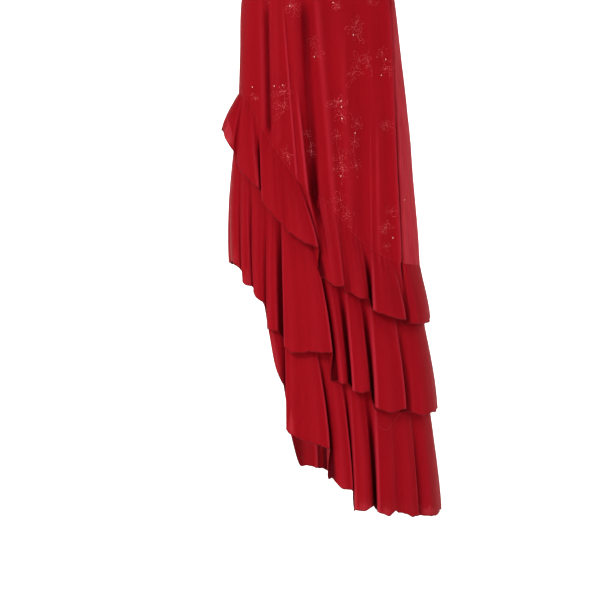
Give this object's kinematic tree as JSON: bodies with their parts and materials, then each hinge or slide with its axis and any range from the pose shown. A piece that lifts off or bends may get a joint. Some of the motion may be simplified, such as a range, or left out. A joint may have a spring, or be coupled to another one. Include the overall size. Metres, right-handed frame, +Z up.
{
  "type": "maxi dress",
  "caption": "Chiffon maxi dress with narrow shoulder straps, a slanting hem and tiers of diagonal flounces, hollow as when worn.",
  "frame": {"origin": "on the wearer's shoulder line, midway between the two straps, at the height of the straps' undersides", "axes": "+Z up, -Y out of the front of the dress, +X to the wearer's left, the side on which the hem is lowest"},
  "size_m": [0.4571, 0.3286, 1.5433],
  "materials": {
    "chiffon": "sheer polyester chiffon, soft matt, with fine glitter on the skirt",
    "strap": "turned chiffon strap, matt"
  },
  "bodies": {
    "root": {"front": "chiffon", "back": "chiffon", "flounce_top_front": "chiffon", "flounce_top_back": "chiffon", "flounce_middle_front": "chiffon", "flounce_middle_back": "chiffon", "flounce_lower_front": "chiffon", "flounce_lower_back": "chiffon", "strap_left": "strap", "strap_right": "strap"}
  },
  "joints": []
}
